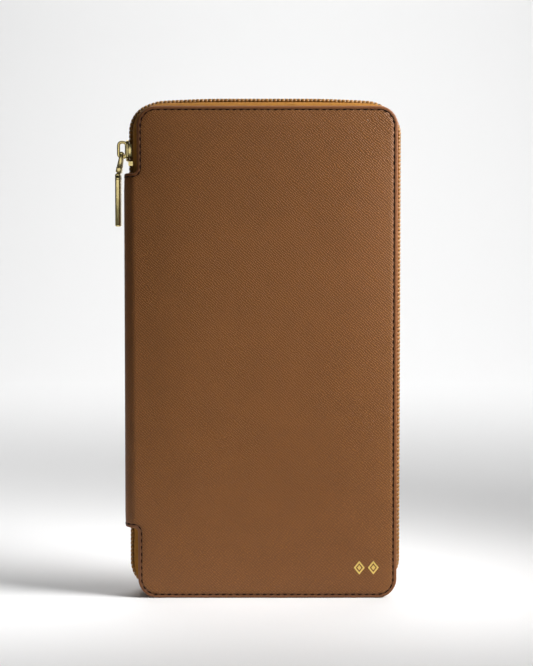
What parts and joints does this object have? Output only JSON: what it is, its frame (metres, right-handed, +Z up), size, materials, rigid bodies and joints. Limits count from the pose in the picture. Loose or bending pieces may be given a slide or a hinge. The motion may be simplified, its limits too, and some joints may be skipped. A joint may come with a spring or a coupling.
{
  "type": "zip around wallet",
  "caption": "Tall leather travel wallet with a zip round three sides, hinged covers, card slots, a zipped inner pouch and a swinging metal bar pull.",
  "frame": {"origin": "bottom centre of the closed wallet, pull included, where it stands on the covers' lower edges", "axes": "+Z up along the long side, +X from the spine towards the free edges, -Y towards the front cover"},
  "size_m": [0.1342, 0.025, 0.2343],
  "materials": {
    "shell_leather": "fine cross-hatched grain, semi-matte",
    "lining_leather": "smooth, semi-matte",
    "pocket_leather": "smooth, semi-matte",
    "board": "bonded fibre board",
    "foam": "thin closed-cell foam",
    "pouch_cloth": "plain woven lining cloth",
    "zip_tape": "woven polyester tape",
    "zip_coil": "nylon coil",
    "gold_metal": "pale gold plated, polished"
  },
  "bodies": {
    "spine": {"spine_leather": "shell_leather", "spine_board": "board", "spine_lining": "lining_leather", "front_tape_ends": "zip_tape", "rear_tape_ends": "zip_tape", "front_coil_ends": "zip_coil", "rear_coil_ends": "zip_coil", "zip_top_stops": "gold_metal", "zip_bottom_stop": "gold_metal"},
    "front_cover": {"front_cover_leather": "shell_leather", "front_cover_board": "board", "front_cover_padding": "foam", "front_cover_lining": "lining_leather", "front_zip_tape": "zip_tape", "front_zip_coil": "zip_coil", "slip_pocket": "pocket_leather", "card_slot_1": "pocket_leather", "card_slot_2": "pocket_leather", "card_slot_3": "pocket_leather", "card_slot_4": "pocket_leather", "card_slot_5": "pocket_leather", "card_slot_6": "pocket_leather", "card_slot_7": "pocket_leather", "card_slot_8": "pocket_leather"},
    "rear_cover": {"rear_cover_leather": "shell_leather", "rear_cover_board": "board", "rear_cover_padding": "foam", "rear_cover_lining": "lining_leather", "rear_zip_tape": "zip_tape", "rear_zip_coil": "zip_coil", "pouch_cloth": "pouch_cloth", "panel_above_zip": "pocket_leather", "panel_below_zip": "pocket_leather", "passport_pocket": "pocket_leather", "inner_tape_upper": "zip_tape", "inner_tape_lower": "zip_tape", "inner_coil_upper": "zip_coil", "inner_coil_lower": "zip_coil", "inner_zip_stops": "gold_metal"},
    "zip_slider": {"zip_slider": "gold_metal"},
    "pull_link": {"pull_link": "gold_metal", "pull_pin": "gold_metal"},
    "pull_bar": {"pull_bar": "gold_metal"},
    "inner_slider": {"inner_slider": "gold_metal"},
    "inner_pull": {"inner_pull": "gold_metal"}
  },
  "joints": [
    {"name": "front_cover_opening", "type": "hinge", "parent": "spine", "child": "front_cover", "pos_m": [-0.0564, -0.0125, 0.115], "axis": [0, 0, -1], "range_deg": [0, 90]},
    {"name": "rear_cover_opening", "type": "hinge", "parent": "spine", "child": "rear_cover", "pos_m": [-0.0564, 0.0125, 0.115], "axis": [0, 0, 1], "range_deg": [0, 90]},
    {"name": "zip_slider_travel", "type": "slide", "parent": "spine", "child": "zip_slider", "axis": [0, 0, 1], "range_m": [0, 0.004]},
    {"name": "pull_link_swing", "type": "hinge", "parent": "zip_slider", "child": "pull_link", "pos_m": [-0.0642, 0, 0.2086], "axis": [0, 1, 0], "range_deg": [0, 105]},
    {"name": "pull_bar_swing", "type": "hinge", "parent": "pull_link", "child": "pull_bar", "pos_m": [-0.066, 0, 0.1982], "axis": [0, 1, 0], "range_deg": [-4, 75]},
    {"name": "inner_slider_travel", "type": "slide", "parent": "rear_cover", "child": "inner_slider", "axis": [-1, 0, 0], "range_m": [0, 0.0935]},
    {"name": "inner_pull_swing", "type": "hinge", "parent": "inner_slider", "child": "inner_pull", "pos_m": [0.0532, 0.0005, 0.206], "axis": [0, 0, 1], "range_deg": [0, 110]}
  ]
}
